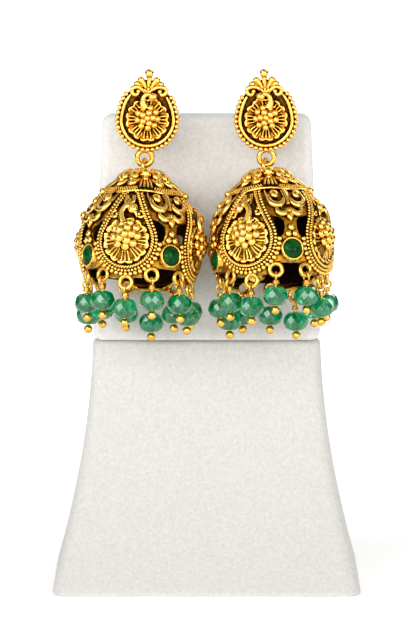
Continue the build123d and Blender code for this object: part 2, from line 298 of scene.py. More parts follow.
# %% Polished gold material
# The same plating kept bright by handling: clear reflections, a little uneven in polish.
polished_gold, tree, place = new_material("polished_gold")
handling = noise(tree, place, 1.2, 3.0)
handled = add_node(
    tree, "ShaderNodeMapRange", {"Value": handling, "To Min": 0.13, "To Max": 0.28}
).outputs[0]
tint = ramp(tree, handling, [(0.3, "#E2A83C"), (0.7, "#F5CB68")])
surface(tree, {"Base Color": tint, "Metallic": 1.0, "Roughness": handled})
for name in ("left_clutch", "right_clutch"):
    nodes[name].data.materials.clear()
    nodes[name].data.materials.append(polished_gold)
print("gold:", antique_gold.name, "and", polished_gold.name)

# %% [markdown]
# ## How the ornament is built
# Cast jewellery is made of a few small shapes repeated: grains, twisted wire, petals, scrolls.
# Each is modelled once at a scale of one unit to the millimetre, lying flat with its top up
# +Z. Copies are laid out flat as the motif, joined, and then wrapped round the bell.

# %% Bench helpers
def deselect():
    """Leaves object mode with nothing selected, as every new piece starts."""
    if bpy.context.object and bpy.context.object.mode != "OBJECT":
        bpy.ops.object.mode_set(mode="OBJECT")
    bpy.ops.object.select_all(action="DESELECT")


def only(piece):
    """Makes a piece the only one selected, and the active one."""
    deselect()
    piece.select_set(True)
    bpy.context.view_layer.objects.active = piece
    return piece


def opened(piece):
    """Opens a piece in edit mode with all of it selected."""
    only(piece)
    bpy.ops.object.mode_set(mode="EDIT")
    bpy.ops.mesh.select_all(action="SELECT")


def settle(piece, name):
    """Names an object and moves its place into its mesh, so that it sits at the origin."""
    bpy.context.view_layer.update()
    piece.data.transform(piece.matrix_world)
    piece.matrix_world = Matrix.Identity(4)
    piece.name = name
    return piece


def smooth(piece):
    """Shades all of a piece's faces smooth."""
    for face in piece.data.polygons:
        face.use_smooth = True
    return piece


def meshed(name, points, edges, faces):
    """A new object from points, edges and faces."""
    mesh = bpy.data.meshes.new(name)
    mesh.from_pydata(points, edges, faces)
    return linked(name, mesh)


def grid(columns, rows):
    """A flat grid of faces, from -1 to 1 both ways."""
    deselect()
    bpy.ops.mesh.primitive_grid_add(x_subdivisions=columns, y_subdivisions=rows, size=2)
    return bpy.context.object


def copied(piece, matrix=None, name=None):
    """A copy with its own mesh, moved by a matrix. A mirrored one keeps its faces outwards."""
    made = piece.copy()
    made.data = piece.data.copy()
    bpy.context.collection.objects.link(made)
    if matrix is not None:
        made.data.transform(matrix)
        if matrix.determinant() < 0:
            made.data.flip_normals()
    if name:
        made.name = name
    return made


def joined(name, pieces):
    """Joins pieces into the first one."""
    deselect()
    for piece in pieces:
        piece.select_set(True)
    bpy.context.view_layer.objects.active = pieces[0]
    if len(pieces) > 1:
        bpy.ops.object.join()
    pieces[0].name = name
    return pieces[0]


def discard(*pieces):
    """Removes templates that were only there to be copied."""
    for piece in pieces:
        bpy.data.objects.remove(piece)


def shaped(piece, move):
    """Moves each vertex by a function of its coordinates, all at once as arrays."""
    points = np.empty(len(piece.data.vertices) * 3)
    piece.data.vertices.foreach_get("co", points)
    x, y, z = points.reshape(-1, 3).T
    moved = np.stack(np.broadcast_arrays(*move(x, y, z)), axis=1)
    piece.data.vertices.foreach_set("co", moved.ravel())
    piece.data.update()
    return piece


def hollowed(piece, value):
    """Marks, from 0 to 1, how far a piece lies out of a polishing cloth's reach; inside the bell
    the mark is painted shade.
    """
    store = piece.data.attributes.new("hollow", "FLOAT", "POINT")
    values = np.broadcast_to(value, len(piece.data.vertices)).astype(np.float32)
    store.data.foreach_set("value", values)
    return piece


def tidied(piece):
    """Merges doubled vertices and turns all faces outwards."""
    opened(piece)
    bpy.ops.mesh.remove_doubles(threshold=1e-3)
    bpy.ops.mesh.normals_make_consistent(inside=False)
    bpy.ops.object.mode_set(mode="OBJECT")
    return piece


def at(x, y, z=0.0, turn=0.0, scale=(1, 1, 1)):
    """A matrix that scales, turns about Z by an angle in radians and moves."""
    size = Matrix.Diagonal((*scale, 1))
    return Matrix.Translation((x, y, z)) @ Matrix.Rotation(turn, 4, "Z") @ size


# %% Drawn wires
WIRE_SIDES = 2
WIRE_STEPS = 4


def wire(name, points, radius, tapers=None, closed=False):
    """A round wire along a smooth line through control points, as a mesh."""
    line = bpy.data.curves.new(name, "CURVE")
    line.dimensions = "3D"
    line.bevel_depth = radius
    line.bevel_resolution = WIRE_SIDES
    line.resolution_u = WIRE_STEPS
    line.use_fill_caps = True
    spline = line.splines.new("NURBS")
    spline.points.add(len(points) - 1)
    for number, (point, place) in enumerate(zip(spline.points, points)):
        point.co = (*place, 1)
        point.radius = tapers[number] if tapers else 1.0
    spline.order_u = 3
    spline.use_cyclic_u = closed
    spline.use_endpoint_u = not closed
    only(linked(name, line))
    bpy.ops.object.convert(target="MESH")
    return smooth(bpy.context.object)


def grain(name, radius, subdivisions=2):
    """A round grain of metal whose hidden underside is cut away."""
    deselect()
    bpy.ops.mesh.primitive_ico_sphere_add(subdivisions=subdivisions, radius=radius)
    made = bpy.context.object
    opened(made)
    bpy.ops.mesh.bisect(
        plane_co=(0, 0, -0.45 * radius), plane_no=(0, 0, 1), clear_inner=True, use_fill=True
    )
    bpy.ops.object.mode_set(mode="OBJECT")
    made.name = name
    return smooth(made)


small_grain = grain("small_grain", 0.36)
large_grain = grain("large_grain", 0.54)
boss = grain("boss", 1.0, subdivisions=3)


def to_side(side, line):
    """A line of points on one side, mirrored where the side is -1."""
    return [(side * x, *rest) for x, *rest in line]


def ball(x, y, z, size):
    """A boss of a size at a place."""
    return copied(boss, at(x, y, z) @ Matrix.Scale(size, 4))


twist = grain("twist", 0.4)
twist.data.transform(Matrix.Rotation(radians(38), 4, "Z") @ Matrix.Diagonal((1.35, 0.62, 1, 1)))
print("grains of", len(small_grain.data.polygons), "faces")

# %% [markdown]
# ## The flower
# Each petal is a fan with a few raked ridges and a rolled, two-lobed end. It starts as a flat
# grid and every vertex is moved by a formula, which is the quickest way to an even relief.


# %% One petal, and a flower of eight
# Each row of the cluster: its count, and its reach, size and height as shares of the cluster.
CLUSTER_ROWS = ((1, 0, 0.3, 0.45), (5, 0.46, 0.31, 0.36), (9, 0.85, 0.3, 0.14))


def flower(name, inside, outside, cluster, lift, tarnish):
    """Eight petals between two radii, and a cluster of bosses set a little above the middle.

    The tarnish is how dark the hollows between a petal's ridges have stayed.
    """
    petal = grid(20, 13)
    reach = outside - inside

    def relief(x, y, z):
        share = (y + 1) / 2
        half = (0.34 + 0.66 * share**0.6) * outside * 0.37
        notch = 0.5 * (1 - np.abs(np.sin(pi * x))) * share**3 + 0.4 * np.abs(x) ** 6 * share
        far = inside + reach * share - notch
        ridges = 0.27 * np.cos(4 * pi * x) * np.clip((0.8 - share) / 0.2, 0, 1)
        roll = 0.7 * np.exp(-(((share - 0.85) / 0.12) ** 2))
        rim = np.exp(-(((np.abs(x) - 0.85) / 0.12) ** 2)) * 0.4 * share
        edge = (1 - np.abs(x) ** 10) * (1 - share**18)
        height = (0.25 + ridges + roll + rim) * edge - 0.25 * (1 - edge)
        return half * x, far, height

    shaped(petal, relief)
    heights = np.array([v.co.z for v in petal.data.vertices])
    hollowed(smooth(petal), np.clip((0.5 - heights) / 0.5, 0, 1) * tarnish)
    pieces = [copied(petal, at(0, 0, 0, radians(45 * n))) for n in range(8)]
    for count, place, size, height in CLUSTER_ROWS:
        for n in range(count):
            angle = 2 * pi * n / count + 0.3
            far = place * cluster
            x, y = far * sin(angle), lift + far * cos(angle)
            pieces.append(ball(x, y, 0.2 + height * cluster, size * cluster))
    discard(petal)
    return joined(name, pieces)


# %% [markdown]
# ## The peacock
# A peacock looks back over the flower: an S-shaped neck that thins towards a small round head,
# a beak that points down, a little crest, and leafy scrolls to either side.


# %% The peacock
def peacock(name, size):
    """A peacock's neck and head, standing on the origin, facing +X."""
    neck = wire(
        "neck",
        [
            (-0.45, -0.4, 0.6),
            (-0.85, 0.6, 0.85),
            (-0.8, 1.7, 1.0),
            (-0.15, 2.65, 1.05),
            (0.65, 2.7, 1.05),
            (1.2, 2.1, 1.0),
        ],
        0.5,
        [1.65, 1.25, 0.95, 0.95, 1.05, 1.0],
    )
    beak_line = [(1.4, 1.9, 1.0), (1.95, 1.25, 0.9), (2.05, 0.6, 0.7)]
    beak = wire("beak", beak_line, 0.34, [1.3, 0.9, 0.15])
    collar = wire("collar", [(-1.7, -0.3, 0.5), (-0.6, -0.75, 0.8), (0.7, -0.35, 0.6)], 0.24)
    crest = [
        wire("crest", [(0.3, 2.8, 0.9), (x, y, 0.8)], 0.2, [1.0, 1.5])
        for x, y in ((-0.5, 3.8), (0.3, 4.1), (1.1, 3.8))
    ]
    head = ball(1.15, 2.15, 1.0, 0.88)
    eye = copied(small_grain, at(1.25, 2.3, 1.72) @ Matrix.Scale(0.6, 4))
    made = joined(name, [neck, beak, collar, head, eye, *crest])
    made.data.transform(Matrix.Scale(size, 4))
    return made


def curl(side, place, radius, thick, sweep, start):
    """A wire that curls inwards to a ball from its outside, mirrored where the side is -1."""
    points = []
    sizes = []
    for n in range(9):
        share = n / 8
        angle = radians(start - sweep * share)
        far = radius * (1 - 0.62 * share**1.3)
        points.append((far * cos(angle), far * sin(angle), thick * 0.7))
        sizes.append(0.7 + 0.5 * sin(pi * share) ** 0.7)
    line = wire("line", points, thick, sizes)
    made = joined("curl", [line, ball(*points[-1], thick * 1.35)])
    made.data.transform(at(*place, 0, (side, 1, 1)))
    if side < 0:
        made.data.flip_normals()
    return made


def frond(line, thick):
    """A leaf finger that thickens towards a rounded tip."""
    points = [(x, y, 0.45) for x, y in line]
    sizes = [0.45 + 0.65 * n / (len(line) - 1) for n in range(len(line))]
    stem = wire("stem", points, thick, sizes)
    return joined("frond", [stem, ball(*line[-1], 0.45, thick * 1.12)])


# %% [markdown]
# ## Outlines
# Grains and twisted wire follow the outline of a teardrop: a large circle below, a small one
# above and the two tangents between them.


# %% Outlines and rows
def teardrop_line(radius, neck_radius, rise):
    """Points along a teardrop, from the top of its neck clockwise round to there again."""
    lean = asin((radius - neck_radius) / rise)
    right = [
        (neck_radius * cos(a), rise + neck_radius * sin(a))
        for a in np.linspace(pi / 2, lean, 8)
    ]
    round_foot = [
        (radius * cos(a), radius * sin(a)) for a in np.linspace(lean, -pi - lean, 72)
    ]
    left = [(-x, y) for x, y in reversed(right)]
    return np.array(right + round_foot + left)


def spaced(line, pitch):
    """Places (x, y, direction) along a line, evenly spaced at about a pitch."""
    steps = np.hypot(*np.diff(line, axis=0).T)
    lengths = np.concatenate([[0], np.cumsum(steps)])
    count = int(lengths[-1] / pitch)
    marks = (np.arange(count) + 0.5) * lengths[-1] / count
    here, after, before = (
        [np.interp(marks + step, lengths, values) for values in line.T] for step in (0, 0.05, -0.05)
    )
    directions = np.arctan2(after[1] - before[1], after[0] - before[0])
    return list(zip(*here, directions))


def row_of(template, line, pitch, height):
    """Copies of a template along a line."""
    return [copied(template, at(x, y, height, turn)) for x, y, turn in spaced(line, pitch)]


def plate(name, outline, height, thickness):
    """A flat plate with a fine grid of faces inside an outline about the origin."""
    steps = len(outline)
    made = grid(steps, 8)
    loop = np.vstack([outline, outline[:1]])

    def spread(x, y, z):
        place = (x + 1) / 2 * steps
        share = (y + 1) / 2
        xs = np.interp(place, np.arange(steps + 1), loop[:, 0])
        ys = np.interp(place, np.arange(steps + 1), loop[:, 1])
        return xs * share, ys * share, height + 0 * xs

    shaped(made, spread)
    tidied(made)
    if made.data.polygons[0].normal.z < 0:
        made.data.flip_normals()
    opened(made)
    bpy.ops.mesh.region_to_loop()
    bpy.ops.mesh.extrude_edges_move(TRANSFORM_OT_translate={"value": (0, 0, -thickness)})
    bpy.ops.mesh.edge_face_add()
    bpy.ops.object.mode_set(mode="OBJECT")
    made.name = name
    return hollowed(made, 0.65)


# %% [markdown]
# ## The motif of a bell panel
# Four of these go round each bell: a teardrop plate with a twisted wire and a row of grains
# round it, a row of larger grains round its foot, and the flower and peacock inside.

# %% The bell's panel motif, laid flat
PANEL_DEPTH = 20.0
NECK_RISE = PANEL_DEPTH - 9.4
PLATE_RADIUS = 6.6
NECK_RADIUS = 2.1
FOOT_ROW = 7.65


def panel_line(out):
    """The panel's teardrop, drawn a little further out or in."""
    return teardrop_line(PLATE_RADIUS + out, NECK_RADIUS + out, NECK_RISE)


panel_parts = [plate("plate", panel_line(0)[:-1], 0.3, 0.8)]
panel_parts += row_of(twist, panel_line(-0.55), 0.62, 0.55)
panel_parts += row_of(small_grain, panel_line(0.25), 0.8, 0.45)
foot = np.array([(FOOT_ROW * cos(a), FOOT_ROW * sin(a)) for a in np.linspace(0, -pi, 60)])
panel_parts += row_of(large_grain, foot, 1.14, 0.3)
panel_parts.append(flower("panel_flower", 2.1, 5.65, 3.2, 1.3, 0.85))
bird = peacock("panel_peacock", 1.2)
bird.data.transform(at(-0.2, 4.5, 0.3))
panel_parts.append(bird)
for side in (-1, 1):
    panel_parts.append(curl(side, (side * 2.9, 6.1, 0.3), 0.95, 0.3, 300, 100))
    panel_parts.append(frond(to_side(side, [(0.9, 8.2), (1.1, 9.2), (0.8, 10.4)]), 0.42))
panel_motif = joined("panel_motif", panel_parts)
panel_motif.data.transform(Matrix.Diagonal((1, 1, 0.85, 1)))
print("panel motif:", len(panel_motif.data.polygons), "faces")

# %% [markdown]
# ## The motif between the panels
# Two large crescents with balls, two smaller ones, a stem between them, a pointed drop and
# three grains hang over each green stone.


# %% The gap motif, laid flat
def crescent(radius, thick, lean):
    """A U-shaped crescent, thick at its foot, tipped by an angle in degrees."""
    points = []
    sizes = []
    for n in range(9):
        angle = radians(165 + 210 * n / 8 + lean)
        points.append((radius * cos(angle), radius * sin(angle), 0.5))
        sizes.append(0.55 + 0.6 * sin(pi * n / 8))
    return wire("crescent", points, thick, sizes)


GAP_DEPTH = 10.6
gap_parts = []
for side in (-1, 1):
    big = crescent(1.7, 0.66, 0)
    big.data.transform(at(side * 2.45, -0.3, 0.3, side * radians(16)))
    small = crescent(1.15, 0.56, 0)
    small.data.transform(at(side * 1.75, -3.1, 0.45, side * radians(12)))
    leaf = frond(to_side(side, [(1.7, -2.3), (2.0, -1.6), (2.3, -1.5)]), 0.4)
    leaf.data.transform(at(0, -0.3, 0.3))
    edge_line = [(4.1, 2.2), (4.4, 0.6), (3.8, -0.9), (3.3, -1.9)]
    edge = frond(to_side(side, edge_line), 0.42)
    gap_parts += [big, ball(side * 2.6, 0.8, 0.8, 0.95), small, leaf, edge]
stem = wire("stem", [(0, 3.2, 0.7), (0, 0.8, 0.9), (0, -1.6, 0.8)], 0.42, [0.8, 1.0, 0.7])
for side in (-1, 1):
    rib_line = to_side(side, [(0.55, 3.0, 0.5), (0.6, 0.5, 0.6), (0.2, -1.8, 0.5)])
    gap_parts.append(wire("rib", rib_line, 0.25))
drop = copied(boss, at(0, -4.75, 0.55, 0, (0.82, 1.25, 0.8)))
shaped(
    drop,
    lambda x, y, z: (x * np.clip(1 - 0.85 * np.clip((-5.0 - y), 0, 1), 0.05, 1), y, z),
)
gap_parts += [stem, drop, ball(0, -3.2, 0.5, 0.6)]
for x, y, size in ((0, -7.35, 0.8), (-0.82, -8.85, 0.74), (0.82, -8.85, 0.74)):
    gap_parts.append(ball(x, y, 0.35, size))
gap_motif = joined("gap_motif", gap_parts)
gap_motif.data.transform(Matrix.Diagonal((1, 1, 0.78, 1)))
print("gap motif:", len(gap_motif.data.polygons), "faces")

# %% [markdown]
# ## Wrapping on to the bell
# The bell's outline is a list of radii and depths below its pivot. A flat motif is wrapped by
# turning its x into a turn round the bell, its y into depth and its z into height off the wall,
# so that from in front each panel keeps its drawn outline.

# %% The bell's outline and the wrap
OUTLINE = [
    (9.35, 8.1), (10.6, 9.3), (11.9, 11.3), (13.0, 13.8), (13.8, 16.8), (14.05, 19.8),
    (13.75, 22.8), (13.15, 25.3), (12.2, 28.2),
]
MID_DEPTH = 18
PANEL_TURNS = (0, 90, 180, 270)
STONE_TURNS = (45, 135, 225, 315)
radii, depths = np.array(OUTLINE).T
bell_curve = np.polyfit(depths - MID_DEPTH, radii, 5)
bell_slope = np.polyder(bell_curve)


def bell_radius(depth):
    """The radius of the bell's wall at a depth below the pivot."""
    return np.polyval(bell_curve, depth - MID_DEPTH)


misfit = np.abs(bell_radius(depths) - radii).max()
print("outline fits within", round(float(misfit), 3), "mm")


def wrapped(piece, turn, depth):
    """Wraps a flat piece round the bell at a turn in degrees, with its origin at a depth."""

    def place(x, y, z):
        down = depth - y
        radius = bell_radius(down)
        slope = np.polyval(bell_slope, down - MID_DEPTH)
        steep = np.sqrt(1 + slope**2)
        angle = radians(turn) + np.arcsin(np.clip(x / radius, -0.999, 0.999))
        out = radius + z / steep
        up = -down + z * slope / steep
        return out * np.sin(angle), -out * np.cos(angle), up

    return shaped(piece, place)


def facing(turn, reach, depth):
    """A matrix that stands a flat piece up, facing outward from the bell's axis."""
    angle = radians(turn)
    across = Vector((cos(angle), sin(angle), 0))
    outward = Vector((sin(angle), -cos(angle), 0))
    spin = Matrix((across, Vector((0, 0, 1)), outward)).transposed().to_4x4()
    return Matrix.Translation(outward * reach + Vector((0, 0, -depth))) @ spin


def turned(name, profile, steps=128, closed=False):
    """A shape turned on a lathe about Z, from (radius, height) points."""
    edges = [(n, n + 1) for n in range(len(profile) - 1)]
    if closed:
        edges.append((len(profile) - 1, 0))
    made = meshed(name, [(r, 0, z) for r, z in profile], edges, [])
    opened(made)
    bpy.ops.mesh.spin(steps=steps, angle=2 * pi, center=(0, 0, 0), axis=(0, 0, 1))
    return smooth(tidied(made))


# %% [markdown]
# ## The wall of the bell
# The wall is turned as a thin shell, and the gaps either side of each green stone are cut
# through it with four flat cutters, as a saw would.

# %% Wall
WALL = 0.9
wall_depths = np.linspace(7.9, 28.2, 24)
outer = [(bell_radius(d), -d) for d in wall_depths]
inner = [(r - WALL, h) for r, h in reversed(outer[:-1])]
lip = [(12.05, -28.3), (11.6, -28.42), (11.1, -28.35), (10.8, -28.1), (10.8, -27.8), (11.1, -27.5)]
wall = turned("wall", outer + lip + inner, closed=True)
slit = [
    (4.7, -14.6), (4.75, -15.8), (4.2, -18.0), (3.7, -19.9), (2.9, -20.3), (1.9, -19.6),
    (1.45, -18.0), (1.5, -16.2), (2.4, -15.2), (3.6, -14.9),
]
notch = [(-5.4, -28.7), (-5.1, -27.3), (-3.4, -26.0), (3.4, -26.0), (5.1, -27.3), (5.4, -28.7)]
shapes = [slit, [(-x, y) for x, y in reversed(slit)], notch]
cutter_points = [(x, y, 0) for shape in shapes for x, y in shape]
starts = np.cumsum([0] + [len(shape) for shape in shapes])
cutter_faces = [list(range(a, b)) for a, b in zip(starts, starts[1:])]
cutter = meshed("cutter", cutter_points, [], cutter_faces)
opened(cutter)
bpy.ops.mesh.extrude_region_move(TRANSFORM_OT_translate={"value": (0, 0, 13)})
bpy.ops.mesh.select_all(action="SELECT")
bpy.ops.mesh.normals_make_consistent(inside=False)
bpy.ops.object.mode_set(mode="OBJECT")
for turn in STONE_TURNS:
    saw = copied(cutter, facing(turn, 5.5, 0))
    only(wall)
    cut = wall.modifiers.new("cut", "BOOLEAN")
    cut.operation = "DIFFERENCE"
    cut.solver = "EXACT"
    cut.object = saw
    bpy.ops.object.modifier_apply(modifier="cut")
    discard(saw)
discard(cutter)
only(wall)
bpy.ops.object.shade_smooth_by_angle(angle=radians(35))
spots = np.array([v.co for v in wall.data.vertices])
# Painted shade: the lining above the lip is marked dark for the shade inside the bell. The outside
# is marked for patina, and the band by the lip stays bright.
lining = np.hypot(spots[:, 0], spots[:, 1]) < bell_radius(-spots[:, 2]) - 0.5 * WALL
hollowed(wall, np.where(lining, np.where(spots[:, 2] > -26.5, 0.75, 0.1), 0.5))
print("wall:", len(wall.data.polygons), "faces")

# %% [markdown]
# ## The cap
# The cap closes the bell: eight rounded leaves round a collar, and under them a sloping canopy
# with flutes, ribs that end in knobs, curled leaves and a grained field, edged with a wire.

# %% The canopy's slope
CANOPY_TOP = (6.6, 4.7)
CANOPY_FOOT = (9.75, 7.6)
run = CANOPY_FOOT[0] - CANOPY_TOP[0]
rise = CANOPY_FOOT[1] - CANOPY_TOP[1]
SLOPE = hypot(run, rise)


def on_canopy(piece, turn):
    """Lays a flat piece on the canopy, its origin on the rim and its y up the slope."""

    def place(x, y, z):
        radius = CANOPY_FOOT[0] - y * run / SLOPE + z * rise / SLOPE
        height = -CANOPY_FOOT[1] + y * rise / SLOPE + z * run / SLOPE
        angle = radians(turn) + x / CANOPY_FOOT[0]
        return radius * np.sin(angle), -radius * np.cos(angle), height

    return shaped(piece, place)


# %% Cap shell, rim and ribs
cap_profile = [
    (0.0, -0.7), (0.95, -0.75), (1.35, -1.05), (1.3, -1.6), (2.4, -1.9), (3.6, -2.5), (4.8, -3.3),
    (5.7, -4.0), (6.3, -4.5), (7.0, -5.15), (7.9, -5.95), (8.8, -6.8), (9.65, -7.55),
    (9.75, -7.75), (9.5, -7.95), (8.8, -8.0), (8.0, -7.3), (6.5, -6.0), (5.0, -4.8), (3.0, -3.4),
    (0.0, -2.9),
]
cap_parts = [hollowed(turned("cap_shell", cap_profile, 96), 0.5)]
rim_line = [(9.8 * sin(a), -9.8 * cos(a), -7.7) for a in np.linspace(0, 2 * pi, 61)[:-1]]
cap_parts.append(wire("rim", rim_line, 0.34, closed=True))
for turn in (74, 106, 254, 286):
    for x in (-0.45, 0.45):
        rib = wire("rib", [(x * 0.9, 5.2, 0.2), (x, 2.6, 0.45), (x * 1.05, 0.3, 0.3)], 0.42)
        cap_parts.append(on_canopy(rib, turn))
    cap_parts.append(on_canopy(ball(0, -0.1, 0.25, 0.95), turn))

# %% Flutes, leaves, curls and the grained field of the canopy
LEAF_LINE = [(2.3, 3.9, 0.4), (2.7, 2.7, 0.6), (3.6, 2.0, 0.65), (4.7, 2.2, 0.55), (5.0, 3.0, 0.4)]
LOBE_LINE = [(6.2, 3.9, 0.3), (6.9, 2.6, 0.6), (8.1, 2.2, 0.5)]
for turn in (0, 180):
    for n in range(4):
        x = (n - 1.5) * 1.0
        line = [(x * 0.8, 4.2, 0.2), (x * 0.95, 2.4, 0.4), (x, 0.8, 0.2)]
        cap_parts.append(on_canopy(wire("flute", line, 0.38, [0.7, 1, 0.8]), turn))
    for side in (-1, 1):
        leaf = wire("leaf", to_side(side, LEAF_LINE), 0.6, [0.5, 1.0, 1.15, 1.0, 0.6])
        inner_curl = curl(side, (side * 3.9, 3.7, 0.2), 0.8, 0.3, 280, 80)
        lobe = wire("lobe", to_side(side, LOBE_LINE), 0.6, [0.5, 1.1, 0.9])
        cap_parts += [on_canopy(part, turn) for part in (leaf, inner_curl, lobe)]
SPECKS = 94
speck = copied(small_grain, Matrix.Scale(0.72, 4))
for row in range(3):
    for n in range(SPECKS):
        turn = 360 * (n + 0.5 * (row % 2)) / SPECKS
        if min(turn % 180, 180 - turn % 180) > 12:
            cap_parts.append(on_canopy(copied(speck, at(0, 0.5 + 0.52 * row, 0.02)), turn))
discard(speck)

# %% Leaves round the top of the cap
stand_up = Matrix.Rotation(radians(-38), 4, "X").inverted()
for n in range(12):
    round_cap = Matrix.Rotation(radians(30 * n), 4, "Z")
    if n % 6 == 0:
        leaf = copied(boss, at(0, -0.4, 0.35, 0, (1.35, 1.4, 1.35)))
    else:
        leaf = copied(boss, at(0, 0, 0, 0, (1.42, 2.3, 1.25)))
        shaped(
            leaf,
            lambda x, y, z: (
                x * (0.85 - 0.16 * y),
                y,
                z - 0.35 * np.exp(-((x / 0.3) ** 2)) * np.clip(0.6 + y, 0, 1),
            ),
        )
    leaf.data.transform(round_cap @ Matrix.Translation((0, -4.55, -2.85)) @ stand_up)
    tip_place = round_cap @ Matrix.Translation((0, -6.15, -4.3)) @ stand_up
    tip = copied(boss, tip_place @ Matrix.Scale(0.78, 4))
    pearl = copied(boss, round_cap @ Matrix.Translation((0, -1.5, -1.55)) @ Matrix.Scale(0.42, 4))
    cap_parts += [leaf, tip, pearl]


def waved(x, y, z):
    """Lifts and drops the canopy's rim a little, as on a hand-finished casting."""
    angle = np.arctan2(x, -y)
    share = np.clip((np.hypot(x, y) - 6.5) / 3.2, 0, 1)
    return x, y, z + 0.2 * share * np.cos(5 * angle + 0.6)


cap = shaped(joined("cap", cap_parts), waved)
print("cap:", len(cap.data.polygons), "faces")

# %% [markdown]
# ## Rings, bezels and stones
# Rings and bezels are plain polished forms that a cloth reaches all over, so they get the
# brighter gold. A bezel is a short tube with a rolled lip that holds a domed stone.


# %% Rings and bezels
def ring(name, radius, thickness):
    """A plain round ring, lying flat."""
    deselect()
    bpy.ops.mesh.primitive_torus_add(
        major_radius=radius, minor_radius=thickness, major_segments=40, minor_segments=14
    )
    return smooth(settle(bpy.context.object, name))


HOOK_RADIUS = 1.45
hook_form = ring("hook_form", HOOK_RADIUS, 0.5)
HOOK_PLACES = []
for turn in PANEL_TURNS:
    HOOK_PLACES.append((turn - 28.0, 12.5, 27.6))
    HOOK_PLACES.append((turn, 12.0, 29.6))
    HOOK_PLACES.append((turn + 28.0, 12.5, 27.6))
hooks = joined("hooks", [copied(hook_form, facing(*place)) for place in HOOK_PLACES])
loop = ring("loop", 1.75, 0.46)
loop.data.transform(Matrix.Translation((0, 0, -0.4)) @ Matrix.Rotation(pi / 2, 4, "Y"))
bezel_profile = [
    (0.0, -1.3), (2.2, -1.3), (2.22, -0.25), (2.32, -0.02), (2.5, 0.08), (2.72, -0.02),
    (2.8, -0.3), (2.78, -2.2), (2.9, -2.45), (2.78, -2.6), (0.0, -2.6),
]
bezel_form = turned("bezel_form", bezel_profile, 48)
stone_places = [facing(turn, 14.4, 23.0) for turn in STONE_TURNS]
bezels = joined("bezels", [copied(bezel_form, place) for place in stone_places])
dome_profile = [(2.22 * cos(a), -0.5 + 1.2 * sin(a)) for a in np.linspace(-0.35, pi / 2, 14)]
stone_form = turned("stone_form", dome_profile, 48)
stones = joined("stones", [copied(stone_form, place) for place in stone_places])
discard(hook_form, bezel_form, stone_form)

# %% Panels and gap ornaments round the bell
panels = joined("panels", [wrapped(copied(panel_motif), t, PANEL_DEPTH) for t in PANEL_TURNS])
gaps = joined("gaps", [wrapped(copied(gap_motif), t, GAP_DEPTH) for t in STONE_TURNS])
discard(panel_motif, gap_motif)

# %% [markdown]
# ## Wear and painted shade
# Blackening stays wherever a polishing cloth can't reach. From every vertex, 14 short rays look
# outwards, and its wear is 1 where all get away and less for each one blocked, most of all by
# something near. The hollow mark then lowers it further; inside the bell that mark is painted
# shade.

# %% Wear from how open each point is
GOLDEN_ANGLE = 2.399963
RAY_REACH = 1.3
RAY_COUNT = 14


def sky_rays(count):
    """Directions spread over a half sphere about +Z, denser towards the middle."""
    turns = np.arange(count) * GOLDEN_ANGLE
    heights = np.sqrt(1 - (np.arange(count) + 0.5) / count)
    flats = np.sqrt(1 - heights**2)
    return np.stack([flats * np.cos(turns), flats * np.sin(turns), heights], axis=1)


def add_wear_and_shade(pieces):
    """Stores the wear attribute, with the painted shade inside the bell folded in, on pieces that
    shade one another. Sizes are in mm.
    """
    points = []
    faces = []
    for piece in pieces:
        start = len(points)
        points += [tuple(v.co) for v in piece.data.vertices]
        faces += [[start + n for n in f.vertices] for f in piece.data.polygons]
    tree = BVHTree.FromPolygons(points, faces)
    rays = sky_rays(RAY_COUNT)
    for piece in pieces:
        piece.data.update()
        values = np.ones(len(piece.data.vertices), np.float32)
        for number, vertex in enumerate(piece.data.vertices):
            normal = vertex.normal
            side = normal.orthogonal().normalized()
            other = normal.cross(side)
            spin = Matrix((side, other, normal)).transposed()
            start = vertex.co + normal * 0.04
            blocked = 0.0
            for ray in rays:
                hit = tree.ray_cast(start, spin @ Vector(ray), RAY_REACH)
                if hit[0] is not None:
                    blocked += 1 - 0.5 * hit[3] / RAY_REACH
            values[number] = 1 - blocked / RAY_COUNT
        # The hollow mark carries patina, and inside the bell it carries painted shade.
        hollow = piece.data.attributes.get("hollow")
        if hollow:
            depth = np.empty(len(values), np.float32)
            hollow.data.foreach_get("value", depth)
            values *= 1 - depth
            piece.data.attributes.remove(hollow)
        store = piece.data.attributes.new("wear_and_shade", "FLOAT", "POINT")
        store.data.foreach_set("value", values)
    print("wear on", len(points), "vertices")


add_wear_and_shade([wall, cap, panels, gaps, bezels, hooks, loop])

# %% [markdown]
# ## Hanging the bells
# Everything so far stands in the bell's own frame, pivot at the origin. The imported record
# gives each pivot, and each bell is turned about its axis, tipped forward and splayed.

# %% Where each bell hangs
PIVOTS = {j["child"]: Vector(j["pos_m"]) for j in frame["joints"]}
SIDES = {
    "left": {"pitch": 13.5, "roll": 2.8, "turn": -14.5, "mirror": 1, "first": 2},
    "right": {"pitch": 16.5, "roll": -3.4, "turn": -25.0, "mirror": -1, "first": 20},
}


def hang_of(side):
    """The matrix from a bell's own frame in mm to its place on the stand in metres."""
    way = SIDES[side]
    return (
        Matrix.Translation(PIVOTS[side + "_drop"])
        @ Matrix.Rotation(radians(way["roll"]), 4, "Y")
        @ Matrix.Rotation(radians(-way["pitch"]), 4, "X")
        @ Matrix.Rotation(radians(way["turn"]), 4, "Z")
        @ Matrix.Scale(MM, 4)
    )


def finished(piece, body, material, nodes_replaced):
    """Gives a finished piece its material, its body and the CAD nodes that it stands for."""
    piece.data.materials.clear()
    piece.data.materials.append(material)
    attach(piece, body)
    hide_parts(*nodes_replaced)


